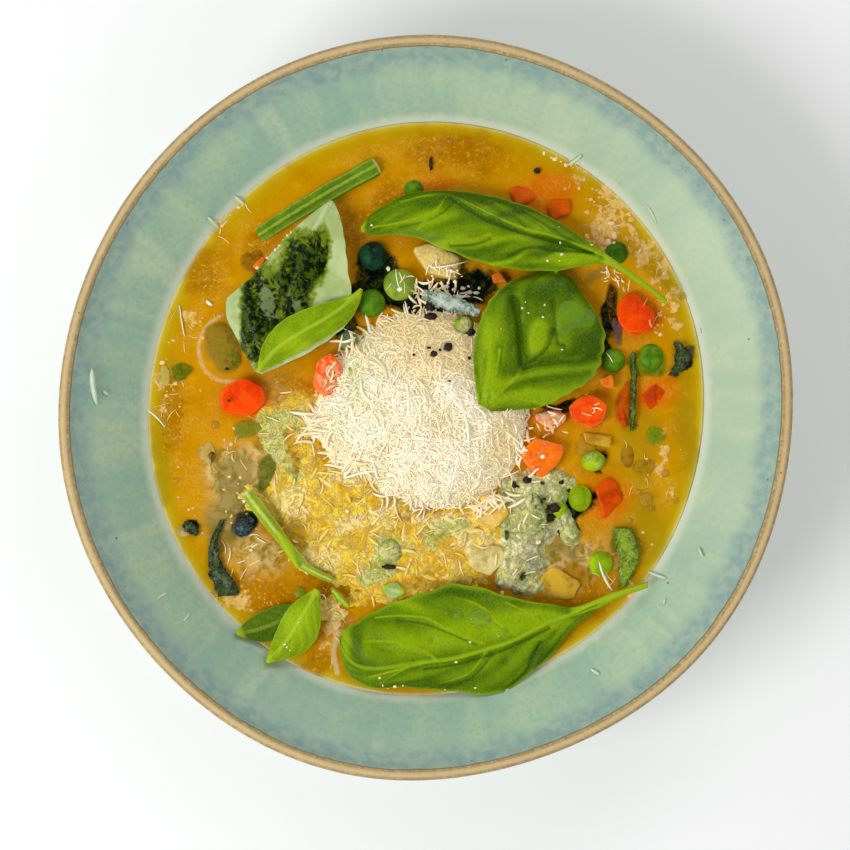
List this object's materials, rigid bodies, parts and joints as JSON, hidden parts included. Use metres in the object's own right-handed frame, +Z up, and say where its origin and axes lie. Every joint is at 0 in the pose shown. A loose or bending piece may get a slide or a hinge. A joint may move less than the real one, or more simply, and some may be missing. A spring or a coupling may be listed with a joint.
{
  "type": "minestrone in bowl",
  "caption": "Vegetable soup with grated cheese and basil leaves in a shallow hand-thrown stoneware bowl that stands on a foot ring.",
  "frame": {"origin": "under the middle of the bowl, on the surface that its foot ring stands on", "axes": "+Z up, -Y towards the eater, +X to the eater's right"},
  "size_m": [0.2182, 0.2218, 0.05],
  "materials": {
    "bowl": "gloss",
    "bare_clay": "matte",
    "broth": "gloss",
    "cheese": "matte",
    "melted_cheese": "satin",
    "basil": "satin",
    "pale_leaf": "matte",
    "stalk": "satin",
    "carrot": "satin",
    "potato": "satin",
    "pea": "satin",
    "bean": "satin",
    "onion": "gloss",
    "greens": "gloss",
    "pepper": "matte"
  },
  "bodies": {
    "root": {"bowl": "bowl", "broth": "broth", "cheese_mound": "cheese", "basil_leaf_top": "basil", "basil_leaf_right": "basil", "basil_leaf_bottom": "basil", "basil_leaf_folded": "pale_leaf", "sprig_stem": "stalk", "sprig_bud": "basil", "sprig_leaf_bright": "basil", "sprig_leaf_dark": "basil", "sprig_leaflet": "basil", "leaf_scrap": "basil", "green_stalk": "stalk", "carrot_1": "carrot", "carrot_2": "carrot", "carrot_3": "carrot", "carrot_4": "carrot", "carrot_5": "carrot", "carrot_6": "carrot", "carrot_7": "carrot", "carrot_8": "carrot", "carrot_9": "carrot", "carrot_10": "carrot", "carrot_11": "carrot", "carrot_12": "carrot", "carrot_13": "carrot", "carrot_14": "carrot", "potato_1": "potato", "potato_2": "potato", "potato_3": "potato", "potato_4": "potato", "potato_5": "potato", "cooked_greens": "greens", "pea_1": "pea", "pea_2": "pea", "pea_3": "pea", "pea_4": "pea", "pea_5": "pea", "pea_6": "pea", "pea_7": "pea", "pea_8": "pea", "pea_9": "pea", "pea_10": "pea", "pea_11": "pea", "pea_12": "pea", "pea_13": "pea", "pea_14": "pea", "pea_15": "pea", "white_bean": "bean", "dark_leaf_strip": "greens", "dark_leaf_knot": "greens", "dark_leaf_crescent": "greens", "dark_leaf_thread": "greens", "green_leaf_edge": "greens", "dark_leaf_scrap": "greens", "cheesy_leaf_strip": "greens"}
  },
  "joints": []
}
